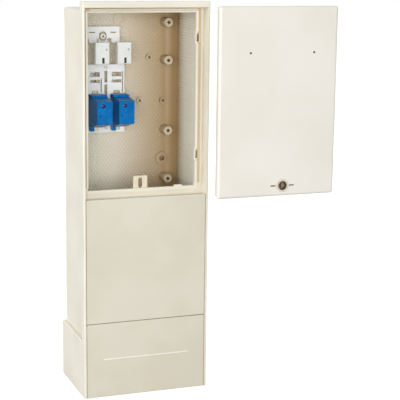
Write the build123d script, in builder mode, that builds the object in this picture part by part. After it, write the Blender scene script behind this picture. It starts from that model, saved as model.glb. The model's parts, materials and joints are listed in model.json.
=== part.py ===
# Meter pillar: a moulded tub with two front panels, a lift-off door and a two-pole fuse assembly.
# X runs to the right, Y to the back and Z up. The foot stands on Z = 0, the front face is at Y = -depth / 2.
from math import radians, tan
from os import makedirs

from build123d import *

makedirs("parts", exist_ok=True)

# Casing
pillar_width = 250.0
pillar_height = 762.0
pillar_depth = 174.0
wall = 4.0
corner_radius = 6.0
inner_corner_radius = 14.0
edge_radius = 2.0
rim_depth = 20.0
rim_face = 4.0
rim_proud = 8.5
rim_top_pocket = 5.0
roof_drop = 17.0
roof_radius = 4.0
foot_height = 109.5
foot_step = 2.0
foot_bevel = 45.0

# Door rebate and seat
recess_depth = 19.5
recess_draft = 8.0
recess_top_drop = 11.0
flange = 3.0
lip_rise = 2.0
lip_width = 6.5
opening_left = 112.0
opening_right = 101.5
opening_top_drop = 21.0
sill_height = 14.5
sill_shelf = 16.0
sill_lap = 9.0
stop_length = 16.0
stop_height = 3.0
stop_x = 69.0

# Front panels
panel_top = 392.5
panel_seam = 148.6
seam_gap = 0.6
side_gap = 0.8
panel_edge_radius = 1.0
face_set_back = 1.0
skin = 3.0
lip_clearance = 0.4
hook_width = 3.5
hook_height = 14.0
hook_reach = 7.0
hook_thickness = 3.5
hook_clearance = 0.5
hook_inset = 2.0
hook_margin = 40.0
panel_lift = 18.0
notch_clearance = 1.5
ground_line_z = 76.0
ground_line_length = 172.0
ground_line_width = 1.6
ground_line_rise = 0.8

# Bosses on the back wall: long ones for a meter board, short pads and wall fixings.
# Drops are measured from the top of the pillar, rises from the sill.
board_boss_x = 89.9
board_boss_drop = (362.3, 264.1, 122.4, 47.2)
board_boss_length = 30.0
board_boss_radius = 9.5
board_hole_radius = 2.2
board_hole_depth = 22.0
pad_x = (56.8, 36.9, 86.0)
pad_drop = (117.6, 204.3, 205.3)
pad_length = 7.0
pad_radius = 6.5
pad_hole_radius = 1.8
pad_hole_depth = 6.0
fixing_x = 84.9
fixing_rise = 30.8
fixing_boss_radius = 13.0
fixing_boss_length = 5.0
fixing_hole_radius = 5.2
knock_out_web = 1.2
top_ring_x = -5.3
top_ring_drop = 41.2
top_ring_radius = 11.5
top_ring_width = 3.0
top_ring_rise = 3.5
boss_draft = 1.5

# Hinge sockets in the right-hand seat and the hooks on the door that hang in them
socket_x = 106.0
socket_rise = 61.0
socket_drop = 69.0
socket_width = 4.6
socket_height = 16.0
knuckle_width = 9.0
knuckle_height = 18.0
knuckle_round = 4.0
door_hook_width = 3.2
door_hook_height = 11.0
door_hook_drop = 4.0
door_hook_thickness = 3.5

# Keeper tab behind the sill
keeper_x = -6.5
keeper_width = 28.0
keeper_rise = 23.5
keeper_thickness = 3.0
keeper_slot_width = 8.0
keeper_slot_height = 20.0
keeper_slot_rise = 10.0
keeper_screw_spacing = 15.0
keeper_screw_drop = 6.5
keeper_hole_depth = 2.4
keeper_shelf_gap = 0.5
keeper_radius = 2.0

# Door, and where it is set aside: to the right, forward and up from its closed place
door_gap = 1.0
door_edge_radius = 5.0
door_rib = 2.2
door_rib_height = 7.0
door_rib_spacing_x = 76.0
door_rib_spacing_z = 112.0
door_dimple_radius = 1.6
door_dimple_depth = 1.5
door_dimple_spacing = 128.0
door_dimple_x = 6.5
door_dimple_drop = 98.0
door_corner_radius = 4.0
door_pocket_radius = 2.0
door_aside_x = 220.0
door_aside_y = -112.0
door_aside_z = 8.5

# Lock
lock_x = 12.0
lock_rise = 21.5
lock_ring_radius = 11.6
lock_ring_rise = 1.4
lock_body_radius = 10.0
lock_bore_radius = 8.3
lock_bore_depth = 9.0
lock_length = 20.0
lock_hole_clearance = 0.3
lock_nut_radius = 15.0
lock_nut_thickness = 4.0
spindle_radius = 3.6
spindle_clearance = 0.35
spindle_key_radius = 5.0
spindle_key_height = 5.0
bar_square = 4.4
bar_square_clearance = 0.2
bar_length = 30.0
bar_width = 8.0
bar_thickness = 3.0
bar_clearance = 0.8
mark_slit_length = 12.0
mark_slit_width = 2.6
mark_slit_depth = 1.2
mark_slit_spacing = 38.0
lock_plate_radius = 12.6
lock_plate_sink = 0.6
lock_boss_radius = 18.0
lock_boss_height = 4.0
spindle_collar_radius = 7.6
spindle_collar_height = 2.0
bar_screw_radius = 1.3
bar_screw_length = 7.0
bar_screw_clearance = 0.25

# Fuse assembly, hung from the top of the pillar. Rises are measured from the plate's lower edge.
assembly_x = -40.0
pole_pitch = 44.0
plate_front = 142.0
plate_thickness = 4.0
plate_width = 76.0
plate_height = 209.0
plate_drop = 54.0
plate_bar_height = 23.0
plate_bar_left = 50.0
plate_bar_right = 28.0
plate_slit_length = 12.0
plate_slit_width = 2.4
plate_slit_x = (-28.0, 15.5)
cutout_x = -6.0
cutout_rise = 190.0
cutout_width = 15.0
cutout_height = 19.0
peg_rise = 2.0
post_radius = 5.5
post_hole_depth = 14.0
plate_screw_rise = (9.0, 129.0)
ladder_slot_length = 20.0
ladder_slot_rise = (102.0, 115.5)
ladder_slot_width = (6.0, 9.0)
spine_slot_width = 6.0
spine_slot_height = 23.0
spine_slot_rise = (84.0, 111.0)
ladder_height = 135.0
neck_width = 18.0
bar_tab_x = (-26.0, 20.0)
bar_tab_width = 17.0
bar_tab_drop = 9.0
bar_tab_radius = 4.0
boss_relief = 1.5
web_slot_width = 2.5
web_slot_x = (-9.5, 34.2)
web_slot_rise = (93.0, 100.0)
web_slot_height = (28.0, 42.0)

# One pole: fuse, jaws, carrier, link bar and terminal
fuse_radius = 7.1
fuse_length = 51.0
fuse_cap_length = 10.0
fuse_body_radius = 6.7
fuse_axis = 120.0
fuse_rise = 19.0
jaw_thickness = 2.0
jaw_clearance = 0.4
jaw_height = 8.0
jaw_prong = 5.0
jaw_foot_width = 12.0
jaw_foot_height = 23.0
jaw_screw_inset = 6.0
jaw_web_width = 8.0
carrier_width = 31.0
carrier_wall = 1.6
carrier_back = 132.0
carrier_front = 72.0
carrier_base_rise = 12.0
carrier_base_height = 64.5
carrier_front_rise = 25.5
carrier_front_height = 44.5
carrier_fillet = 1.2
carrier_pocket_front = 98.0
carrier_lip = 1.5
carrier_lip_depth = 4.0
carrier_foot_width = 7.0
carrier_foot_drop = 5.5
carrier_foot_depth = 14.0
saddle_height = 20.0
saddle_clearance = 0.3
saddle_width = 18.0
saddle_wrap = 3.0
recess_hole_radius = 4.0
recess_hole_depth = 4.0
recess_hole_x = -3.0
recess_hole_rise = 61.0
probe_hole_radius = 1.8
probe_hole_x = -9.4
probe_hole_rise = 42.0
grip_x = 8.5
grip_width = 13.0
grip_height = 21.0
grip_rise = 1.2
link_width = 14.0
link_thickness = 2.5
housing_width = 28.0
housing_height = 42.0
housing_rise = 140.0
housing_front = 88.0
housing_thickness = 12.0
housing_fillet = 1.5
stem_x = 7.5
stem_width = 11.0
stem_height = 24.0
stem_up = 19.0
housing_pad_width = 14.5
housing_pad_height = 20.0
housing_pad_x = -6.0
housing_pad_up = 26.5
housing_pad_thickness = 1.0
window_width = 5.0
window_height = 11.0
window_x = 1.8
window_up = 7.0
driver_hole_radius = 1.9
driver_hole_up = 28.0
driver_hole_x = 8.0
pocket_wall = 2.0
pocket_top_wall = 4.0
clamp_x = 5.0
clamp_width = 13.0
clamp_height = 18.0
clamp_up = 26.0
clamp_clearance = 0.3
clamp_post_radius = 3.0
clamp_screw_radius = 1.6
clamp_screw_length = 5.0
link_arm_width = 9.0
link_foot_height = 14.0
screw_radius = 2.0
screw_head_radius = 3.4
screw_head_height = 2.4
screw_slot_width = 0.8
screw_slot_depth = 0.8
screw_clearance = 0.3
plate_screw_length = 16.0

# Places worked out from the sizes above
front = -pillar_depth / 2
back_inside = pillar_depth - wall
tub_half = pillar_width / 2 - rim_proud
roof = pillar_height - roof_drop
recess_half = pillar_width / 2 - rim_face
recess_top = pillar_height - recess_top_drop
draft_rate = tan(radians(recess_draft))
flange_back = recess_depth + flange
lip_front = recess_depth - lip_rise
opening_top = pillar_height - opening_top_drop
sill_top = panel_top + sill_height
board_boss_z = [pillar_height - drop for drop in board_boss_drop]
pad_places = [(x, pillar_height - drop) for x, drop in zip(pad_x, pad_drop)]
fixing_z = sill_top + fixing_rise
top_ring_z = pillar_height - top_ring_drop
socket_z = (sill_top + socket_rise, pillar_height - socket_drop)
keeper_slot_z = sill_top + keeper_slot_rise
panel_back = lip_front - lip_clearance
panel_taper = draft_rate * (panel_back - face_set_back)
panel_half = recess_half - draft_rate * panel_back - side_gap
face_back = face_set_back + skin
door_half = recess_half - draft_rate * panel_back - door_gap
door_low = panel_top + seam_gap + panel_taper
door_high = recess_top - door_gap - panel_taper
door_middle = (door_low + door_high) / 2
lock_z = panel_top + lock_rise
door_dimple_z = pillar_height - door_dimple_drop
hook_back = flange_back + hook_clearance + hook_thickness
lock_seat = face_set_back + lock_plate_sink
lock_back = lock_seat + lock_length
boss_back = face_back + lock_boss_height
hook_front = flange_back + hook_clearance
hook_foot = opening_right - hook_inset
hook_tip = hook_foot + hook_reach
keeper_front = flange_back
keeper_back = keeper_front + keeper_thickness
bar_front = keeper_back + bar_clearance
bar_back = bar_front + bar_thickness
plate_back = plate_front + plate_thickness
plate_top = pillar_height - plate_drop
plate_bottom = plate_top - plate_height
cutout_z = plate_bottom + cutout_rise
plate_screw_z = [plate_bottom + rise for rise in plate_screw_rise]
ladder_slot_z = [plate_bottom + rise for rise in ladder_slot_rise]
spine_slot_z = [plate_bottom + rise for rise in spine_slot_rise]
ladder_top = plate_bottom + ladder_height
poles = {"left": assembly_x - pole_pitch / 2, "right": assembly_x + pole_pitch / 2}
fuse_bottom = plate_bottom + fuse_rise
fuse_top = fuse_bottom + fuse_length
carrier_base_bottom = plate_bottom + carrier_base_rise
carrier_base_top = carrier_base_bottom + carrier_base_height
carrier_front_bottom = plate_bottom + carrier_front_rise
carrier_front_top = carrier_front_bottom + carrier_front_height
recess_hole_z = plate_bottom + recess_hole_rise
probe_hole_z = plate_bottom + probe_hole_rise
housing_bottom = plate_bottom + housing_rise
stem_z = housing_bottom + stem_up
housing_pad_z = housing_bottom + housing_pad_up
window_z = housing_bottom + window_up
driver_hole_z = housing_bottom + driver_hole_up
clamp_z = housing_bottom + clamp_up
jaw_z = {"lower": fuse_bottom + fuse_cap_length / 2, "upper": fuse_top - fuse_cap_length / 2}
jaw_outer = fuse_radius + jaw_clearance + jaw_thickness
jaw_screw_z = {
    "lower": jaw_z["lower"] + jaw_height / 2 - jaw_foot_height + jaw_screw_inset,
    "upper": jaw_z["upper"] - jaw_height / 2 + jaw_foot_height - jaw_screw_inset,
}


# Plane parallel to the front, at a depth behind it, with X across and Z up
def upright(depth):
    return Plane.XZ.offset(-front - depth)


# The same plane for the pieces of the door that is set aside
def aside(depth):
    origin = (door_aside_x, front + depth + door_aside_y, door_aside_z)
    return Plane(origin=origin, x_dir=(1, 0, 0), z_dir=(0, -1, 0))


def save(name, piece):
    piece.part.label = name
    export_step(piece.part, f"parts/{name}.step")


with BuildPart() as body_shell:
    # Tub with rounded back corners and roof edge
    with BuildSketch() as tub_plan:
        with Locations((0, front + (recess_depth + pillar_depth) / 2)):
            Rectangle(2 * tub_half, pillar_depth - recess_depth)
        fillet(tub_plan.vertices().group_by(Axis.Y)[-1], corner_radius)
    extrude(amount=roof)
    fillet(body_shell.faces().sort_by(Axis.Z)[-1].edges(), roof_radius)
    # Front rim, standing proud of the sides and the roof
    with BuildSketch(upright(0)):
        with Locations((0, pillar_height / 2)):
            Rectangle(pillar_width, pillar_height)
    extrude(amount=-rim_depth)
    rim_edges = body_shell.edges().filter_by(Axis.Z).group_by(Axis.X)
    fillet(rim_edges[0] + rim_edges[-1], edge_radius)
    # Foot skirt with a bevelled ledge below the side walls
    with BuildSketch() as foot_plan:
        with Locations((0, 0)):
            Rectangle(pillar_width, pillar_depth)
        fillet(foot_plan.vertices().group_by(Axis.Y)[-1], corner_radius)
        fillet(foot_plan.vertices().group_by(Axis.Y)[0], edge_radius)
    extrude(amount=foot_height)
    with BuildSketch(Plane.XY.offset(foot_height)) as step_plan:
        with Locations((0, 0)):
            Rectangle(pillar_width, pillar_depth)
        fillet(step_plan.vertices().group_by(Axis.Y)[-1], corner_radius)
    extrude(amount=foot_step, taper=foot_bevel)
    # Hollow of the tub and of the foot, open at the bottom
    with BuildSketch() as tub_hollow:
        with Locations((0, front + (flange_back + back_inside) / 2)):
            Rectangle(2 * (tub_half - wall), back_inside - flange_back)
        fillet(tub_hollow.vertices().group_by(Axis.Y)[-1], inner_corner_radius)
    extrude(amount=roof - wall, mode=Mode.SUBTRACT)
    with BuildSketch() as foot_hollow:
        with Locations((0, front + (flange_back + back_inside) / 2)):
            Rectangle(pillar_width - 2 * wall, back_inside - flange_back)
        fillet(foot_hollow.vertices().group_by(Axis.Y)[-1], inner_corner_radius)
    extrude(amount=foot_height - wall, mode=Mode.SUBTRACT)
    # Rebate for the door and the panels, drafted so that it widens to the front
    with BuildSketch(upright(recess_depth)):
        with Locations((0, recess_top / 2 - draft_rate * recess_depth)):
            Rectangle(2 * (recess_half - draft_rate * recess_depth), recess_top)
    extrude(amount=recess_depth, taper=-recess_draft, mode=Mode.SUBTRACT)
    # Raised lip round the door opening
    with BuildSketch(upright(recess_depth)):
        with Locations(((opening_right - opening_left) / 2, (sill_top + opening_top) / 2)):
            Rectangle(
                opening_left + opening_right + 2 * lip_width,
                opening_top - sill_top + 2 * lip_width,
            )
    extrude(amount=lip_rise)
    # Door opening and the opening behind the panels, with the sill between them
    with BuildSketch(upright(0)):
        with Locations(((opening_right - opening_left) / 2, (sill_top + opening_top) / 2)):
            Rectangle(opening_left + opening_right, opening_top - sill_top)
        with Locations((0, (panel_top - sill_lap) / 2)):
            Rectangle(2 * opening_right, panel_top - sill_lap)
    extrude(amount=-flange_back, mode=Mode.SUBTRACT)
    with BuildSketch(upright(flange_back)):
        with Locations((0, panel_top + flange / 2)):
            Rectangle(2 * (tub_half - wall), flange)
    extrude(amount=-sill_shelf)
    with BuildSketch(upright(lip_front)):
        with Locations((stop_x, sill_top + stop_height / 2)):
            RectangleRounded(stop_length, stop_height, stop_height / 3)
    extrude(amount=lip_front - flange_back)
    # Pocket that thins the top of the rim from behind
    with BuildSketch(upright(rim_depth)):
        with Locations((0, (recess_top + pillar_height) / 2)):
            Rectangle(pillar_width - 2 * wall, rim_top_pocket)
    extrude(amount=rim_depth - wall, mode=Mode.SUBTRACT)
    # Notches in the panel rails that let the panel hooks out when a panel is lifted
    with BuildSketch(upright(recess_depth)):
        for low, high in ((0, panel_seam), (panel_seam, panel_top)):
            for hook_z in (low + hook_margin, high - hook_margin):
                for side in (-1, 1):
                    with Locations((side * opening_right, hook_z + panel_lift)):
                        Rectangle(2 * hook_reach, hook_height + 2 * notch_clearance)
    extrude(amount=-flange, mode=Mode.SUBTRACT)
    # Hinge sockets with a round knuckle beside each
    with BuildSketch(upright(recess_depth)):
        for z in socket_z:
            with Locations((socket_x + socket_width, z)):
                RectangleRounded(knuckle_width, knuckle_height, knuckle_round)
    extrude(amount=lip_rise)
    with BuildSketch(upright(0)):
        for z in socket_z:
            with Locations((socket_x, z)):
                SlotOverall(socket_height, socket_width, rotation=90)
    extrude(amount=-flange_back, mode=Mode.SUBTRACT)
    # Bosses for a meter board, pads, wall fixings, a moulded ring and the posts of the fuse assembly
    with BuildSketch(upright(back_inside)):
        for z in board_boss_z:
            with Locations((-board_boss_x, z), (board_boss_x, z)):
                Circle(board_boss_radius)
    extrude(amount=board_boss_length, taper=boss_draft)
    with BuildSketch(upright(back_inside)):
        with Locations(*pad_places):
            Circle(pad_radius)
    extrude(amount=pad_length, taper=boss_draft)
    with BuildSketch(upright(back_inside)):
        with Locations((-fixing_x, fixing_z), (fixing_x, fixing_z)):
            Circle(fixing_boss_radius)
    extrude(amount=fixing_boss_length, taper=boss_draft)
    with BuildSketch(upright(back_inside)):
        with Locations((top_ring_x, top_ring_z)):
            Circle(top_ring_radius)
            Circle(top_ring_radius - top_ring_width, mode=Mode.SUBTRACT)
    extrude(amount=top_ring_rise)
    with BuildSketch(upright(back_inside)):
        for z in plate_screw_z:
            with Locations((assembly_x, z)):
                Circle(post_radius)
    extrude(amount=back_inside - plate_back)
    with BuildSketch(upright(back_inside)):
        with Locations((assembly_x + cutout_x, cutout_z)):
            Circle(post_radius)
    extrude(amount=back_inside - plate_front + peg_rise)
    with BuildSketch(upright(back_inside - board_boss_length)):
        for z in board_boss_z:
            with Locations((-board_boss_x, z), (board_boss_x, z)):
                Circle(board_hole_radius)
    extrude(amount=-board_hole_depth, mode=Mode.SUBTRACT)
    with BuildSketch(upright(back_inside - pad_length)):
        with Locations(*pad_places):
            Circle(pad_hole_radius)
    extrude(amount=-pad_hole_depth, mode=Mode.SUBTRACT)
    with BuildSketch(upright(plate_back)):
        for z in plate_screw_z:
            with Locations((assembly_x, z)):
                Circle(screw_radius + screw_clearance)
    extrude(amount=-post_hole_depth, mode=Mode.SUBTRACT)
    with BuildSketch(upright(plate_front - peg_rise)):
        with Locations((assembly_x + cutout_x, cutout_z)):
            Circle(screw_radius)
    extrude(amount=-post_hole_depth, mode=Mode.SUBTRACT)
    # Wall fixings stop at a thin web that is knocked out where they are used
    with BuildSketch(upright(back_inside - fixing_boss_length)):
        with Locations((-fixing_x, fixing_z), (fixing_x, fixing_z)):
            Circle(fixing_hole_radius)
    extrude(amount=knock_out_web - wall - fixing_boss_length, mode=Mode.SUBTRACT)
    # Blind holes behind the sill for the keeper screws
    with BuildSketch(upright(keeper_front)):
        with Locations((keeper_x, sill_top - keeper_screw_drop)):
            with GridLocations(keeper_screw_spacing, 0, 2, 1):
                Circle(screw_radius + screw_clearance)
    extrude(amount=keeper_hole_depth, mode=Mode.SUBTRACT)
save("body_shell", body_shell)

# Cable panel and plinth panel: drafted trays that hook behind the rails
for panel_name, low, high in (("cable_panel", panel_seam, panel_top), ("plinth_panel", 0, panel_seam)):
    panel_height = high - low - seam_gap - 2 * panel_taper
    with BuildPart() as panel:
        with BuildSketch(upright(panel_back)):
            with Locations((0, (low + high) / 2)):
                Rectangle(2 * panel_half, panel_height)
        extrude(amount=panel_back - face_set_back, taper=-recess_draft)
        fillet(panel.faces().sort_by(Axis.Y)[0].edges(), panel_edge_radius)
        with BuildSketch(upright(panel_back)):
            with Locations((0, (low + high) / 2)):
                Rectangle(2 * (panel_half - skin), panel_height - 2 * skin)
        extrude(amount=panel_back - face_back, taper=-recess_draft, mode=Mode.SUBTRACT)
        for hook_z in (low + hook_margin, high - hook_margin):
            for side in (-1, 1):
                with BuildSketch(upright(hook_back)):
                    with Locations((side * (hook_foot - hook_width / 2), hook_z)):
                        Rectangle(hook_width, hook_height)
                extrude(amount=hook_back - face_back)
                with BuildSketch(upright(hook_back)):
                    with Locations((side * (hook_tip + hook_foot - hook_width) / 2, hook_z)):
                        Rectangle(hook_reach + hook_width, hook_height)
                extrude(amount=hook_thickness)
        if low < ground_line_z < high:
            with BuildSketch(upright(face_set_back)):
                with Locations((0, ground_line_z)):
                    SlotOverall(ground_line_length, ground_line_width)
            extrude(amount=ground_line_rise)
    save(panel_name, panel)

with BuildPart() as door_keeper:
    keeper_low = panel_top + flange + keeper_shelf_gap
    keeper_high = sill_top + keeper_rise
    with BuildSketch(upright(keeper_back)):
        with Locations((keeper_x, (keeper_low + keeper_high) / 2)):
            RectangleRounded(keeper_width, keeper_high - keeper_low, keeper_radius)
        with Locations((keeper_x, keeper_slot_z)):
            SlotOverall(keeper_slot_height, keeper_slot_width, rotation=90, mode=Mode.SUBTRACT)
        with Locations((keeper_x, sill_top - keeper_screw_drop)):
            with GridLocations(keeper_screw_spacing, 0, 2, 1):
                Circle(screw_radius + screw_clearance, mode=Mode.SUBTRACT)
    extrude(amount=keeper_thickness)
save("door_keeper", door_keeper)

with BuildPart() as keeper_screws:
    with BuildSketch(upright(keeper_back)):
        with Locations((keeper_x, sill_top - keeper_screw_drop)):
            with GridLocations(keeper_screw_spacing, 0, 2, 1):
                Circle(screw_head_radius)
    extrude(amount=-screw_head_height)
    with BuildSketch(upright(keeper_back)):
        with Locations((keeper_x, sill_top - keeper_screw_drop)):
            with GridLocations(keeper_screw_spacing, 0, 2, 1):
                Circle(screw_radius)
    extrude(amount=keeper_thickness + keeper_hole_depth - screw_clearance)
    with BuildSketch(upright(keeper_back + screw_head_height)):
        with Locations((keeper_x, sill_top - keeper_screw_drop)):
            with GridLocations(keeper_screw_spacing, 0, 2, 1):
                Rectangle(2 * screw_head_radius, screw_slot_width)
    extrude(amount=screw_slot_depth, mode=Mode.SUBTRACT)
save("keeper_screws", keeper_screws)

with BuildPart() as mounting_plate:
    with BuildSketch(upright(plate_back)):
        with Locations((assembly_x, (plate_bottom + ladder_top) / 2)):
            Rectangle(plate_width, ladder_top - plate_bottom)
        bar_middle = plate_top - plate_bar_height / 2
        with Locations((assembly_x + (plate_bar_right - plate_bar_left) / 2, bar_middle)):
            Rectangle(plate_bar_left + plate_bar_right, plate_bar_height)
        with Locations((assembly_x + cutout_x, (ladder_top + bar_middle) / 2)):
            Rectangle(neck_width, bar_middle - ladder_top)
        for x in bar_tab_x:
            with Locations((assembly_x + x, plate_top - plate_bar_height)):
                RectangleRounded(bar_tab_width, 2 * bar_tab_drop, bar_tab_radius)
        for pole_x in poles.values():
            with Locations((pole_x + stem_x, (ladder_top + stem_z + stem_height / 2) / 2)):
                Rectangle(stem_width, stem_z + stem_height / 2 - ladder_top)
            with Locations((pole_x + stem_x, stem_z)):
                Circle(clamp_post_radius + screw_clearance, mode=Mode.SUBTRACT)
            for z, slot_width in zip(ladder_slot_z, ladder_slot_width):
                with Locations((pole_x, z)):
                    Rectangle(ladder_slot_length, slot_width, mode=Mode.SUBTRACT)
            for z in jaw_screw_z.values():
                with Locations((pole_x, z)):
                    Circle(screw_radius + screw_clearance, mode=Mode.SUBTRACT)
        with Locations((-board_boss_x, board_boss_z[-1])):
            Circle(board_boss_radius + boss_relief, mode=Mode.SUBTRACT)
        for x in plate_slit_x:
            with Locations((assembly_x + x, bar_middle)):
                Rectangle(plate_slit_length, plate_slit_width, mode=Mode.SUBTRACT)
        with Locations((assembly_x + cutout_x, cutout_z)):
            SlotOverall(cutout_height, cutout_width, rotation=90, mode=Mode.SUBTRACT)
        for z in spine_slot_z:
            with Locations((assembly_x, z)):
                Rectangle(spine_slot_width, spine_slot_height, mode=Mode.SUBTRACT)
        for z in plate_screw_z:
            with Locations((assembly_x, z)):
                Circle(screw_radius + screw_clearance, mode=Mode.SUBTRACT)
        for x, rise, slot_height in zip(web_slot_x, web_slot_rise, web_slot_height):
            with Locations((assembly_x + x, plate_bottom + rise)):
                Rectangle(web_slot_width, slot_height, mode=Mode.SUBTRACT)
    extrude(amount=plate_thickness)
save("mounting_plate", mounting_plate)

# Slotted pan-head screws pointing to the back: those of the plate and those of the jaws
plate_places = [(assembly_x, z) for z in plate_screw_z]
jaw_places = [(x, z) for x in poles.values() for z in jaw_screw_z.values()]
jaw_screw_length = jaw_thickness + plate_thickness + link_thickness
for screw_name, places, seat, length in (
    ("plate_screws", plate_places, plate_front, plate_screw_length),
    ("jaw_screws", jaw_places, plate_front - jaw_thickness, jaw_screw_length),
):
    with BuildPart() as screws:
        with BuildSketch(upright(seat)):
            with Locations(*places):
                Circle(screw_head_radius)
        extrude(amount=screw_head_height)
        with BuildSketch(upright(seat)):
            with Locations(*places):
                Circle(screw_radius)
        extrude(amount=-length)
        with BuildSketch(upright(seat - screw_head_height)):
            with Locations(*places):
                Rectangle(2 * screw_head_radius, screw_slot_width)
        extrude(amount=-screw_slot_depth, mode=Mode.SUBTRACT)
    save(screw_name, screws)


# Height of the sloping underside and top of a fuse carrier at a depth behind the front
def carrier_edge(depth, at_back, at_front):
    return at_back + (carrier_back - depth) / (carrier_back - carrier_front) * (at_front - at_back)


for side, pole_x in poles.items():
    # Sprung U-shaped jaws on a foot that is screwed to the plate
    for level, z in jaw_z.items():
        foot_z = z + (jaw_foot_height - jaw_height) / 2 * (1 if level == "upper" else -1)
        with BuildPart() as jaw:
            with BuildSketch(Plane.XY.offset(z - jaw_height / 2)):
                with Locations((pole_x, front + fuse_axis)):
                    Circle(jaw_outer)
                with Locations((pole_x, front + fuse_axis - jaw_prong / 2)):
                    Rectangle(2 * jaw_outer, jaw_prong)
                with Locations((pole_x, front + (fuse_axis + plate_front) / 2)):
                    Rectangle(jaw_web_width, plate_front - fuse_axis)
                with Locations((pole_x, front + fuse_axis)):
                    Circle(jaw_outer - jaw_thickness, mode=Mode.SUBTRACT)
                with Locations((pole_x, front + fuse_axis - jaw_outer)):
                    Rectangle(2 * (jaw_outer - jaw_thickness), 2 * jaw_outer, mode=Mode.SUBTRACT)
            extrude(amount=jaw_height)
            with BuildSketch(upright(plate_front)):
                with Locations((pole_x, foot_z)):
                    Rectangle(jaw_foot_width, jaw_foot_height)
                with Locations((pole_x, jaw_screw_z[level])):
                    Circle(screw_radius + screw_clearance, mode=Mode.SUBTRACT)
            extrude(amount=jaw_thickness)
        save(f"{level}_jaw_{side}", jaw)

    # Cartridge fuse with two metal caps
    with BuildPart() as fuse:
        with BuildSketch(Plane.XY.offset(fuse_bottom)):
            with Locations((pole_x, front + fuse_axis)):
                Circle(fuse_radius)
        extrude(amount=fuse_length)
        with BuildSketch(Plane.XY.offset(fuse_bottom + fuse_cap_length)):
            with Locations((pole_x, front + fuse_axis)):
                Circle(fuse_radius)
                Circle(fuse_body_radius, mode=Mode.SUBTRACT)
        extrude(amount=fuse_length - 2 * fuse_cap_length, mode=Mode.SUBTRACT)
    save(f"fuse_{side}", fuse)

    # Wedge-shaped carrier, open at the back, with a saddle that holds the fuse
    with BuildPart() as carrier:
        with BuildSketch(Plane.YZ.offset(pole_x - carrier_width / 2)):
            with BuildLine():
                Polyline(
                    (front + carrier_back, carrier_base_bottom),
                    (front + carrier_back, carrier_base_top),
                    (front + carrier_front, carrier_front_top),
                    (front + carrier_front, carrier_front_bottom),
                    close=True,
                )
            make_face()
        extrude(amount=carrier_width)
        fillet(carrier.faces().sort_by(Axis.Y)[0].edges(), carrier_fillet)
        with BuildSketch(upright(carrier_back)):
            with Locations((pole_x, carrier_base_top - carrier_lip / 2)):
                Rectangle(carrier_width + 2 * carrier_lip, carrier_lip)
        extrude(amount=carrier_lip_depth)
        with BuildSketch(upright(carrier_back)):
            with Locations((pole_x - (carrier_width - carrier_foot_width) / 2, carrier_base_bottom)):
                Rectangle(carrier_foot_width, 2 * carrier_foot_drop)
        extrude(amount=carrier_foot_depth)
        pocket_top = carrier_edge(carrier_pocket_front, carrier_base_top, carrier_front_top)
        pocket_bottom = carrier_edge(carrier_pocket_front, carrier_base_bottom, carrier_front_bottom)
        with BuildSketch(Plane.YZ.offset(pole_x - carrier_width / 2 + carrier_wall)):
            with BuildLine():
                Polyline(
                    (front + carrier_back, carrier_base_bottom + carrier_wall),
                    (front + carrier_back, carrier_base_top - carrier_wall),
                    (front + carrier_pocket_front, pocket_top - carrier_wall),
                    (front + carrier_pocket_front, pocket_bottom + carrier_wall),
                    close=True,
                )
            make_face()
        extrude(amount=carrier_width - 2 * carrier_wall, mode=Mode.SUBTRACT)
        saddle_z = fuse_bottom + (fuse_length - saddle_height) / 2
        with BuildSketch(Plane.XY.offset(saddle_z)):
            with Locations((pole_x, front + (carrier_pocket_front + fuse_axis - saddle_wrap) / 2)):
                Rectangle(saddle_width, fuse_axis - saddle_wrap - carrier_pocket_front)
            with Locations((pole_x, front + fuse_axis)):
                Circle(fuse_body_radius + saddle_clearance, mode=Mode.SUBTRACT)
        extrude(amount=saddle_height)
        with BuildSketch(upright(carrier_front)):
            with Locations((pole_x + grip_x, recess_hole_z - recess_hole_radius / 2)):
                RectangleRounded(grip_width, grip_height, carrier_fillet)
        extrude(amount=grip_rise)
        with BuildSketch(upright(carrier_front)):
            with Locations((pole_x + recess_hole_x, recess_hole_z)):
                Circle(recess_hole_radius)
            with Locations((pole_x + probe_hole_x, probe_hole_z)):
                Circle(probe_hole_radius)
        extrude(amount=-recess_hole_depth, mode=Mode.SUBTRACT)
    save(f"fuse_carrier_{side}", carrier)

    # Link bar behind the plate, from the upper jaw up to the terminal
    with BuildPart() as link_bar:
        with BuildSketch(upright(plate_back + link_thickness)):
            link_low = jaw_screw_z["upper"] - link_foot_height / 2
            link_high = stem_z + stem_height / 2
            with Locations((pole_x + stem_x, (link_low + link_high) / 2)):
                Rectangle(link_arm_width, link_high - link_low)
            with Locations((pole_x, jaw_screw_z["upper"])):
                Rectangle(link_width, link_foot_height)
                Circle(screw_radius + screw_clearance, mode=Mode.SUBTRACT)
            with Locations((pole_x + stem_x, stem_z)):
                Circle(clamp_post_radius + screw_clearance, mode=Mode.SUBTRACT)
        extrude(amount=link_thickness)
    save(f"link_bar_{side}", link_bar)

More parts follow.
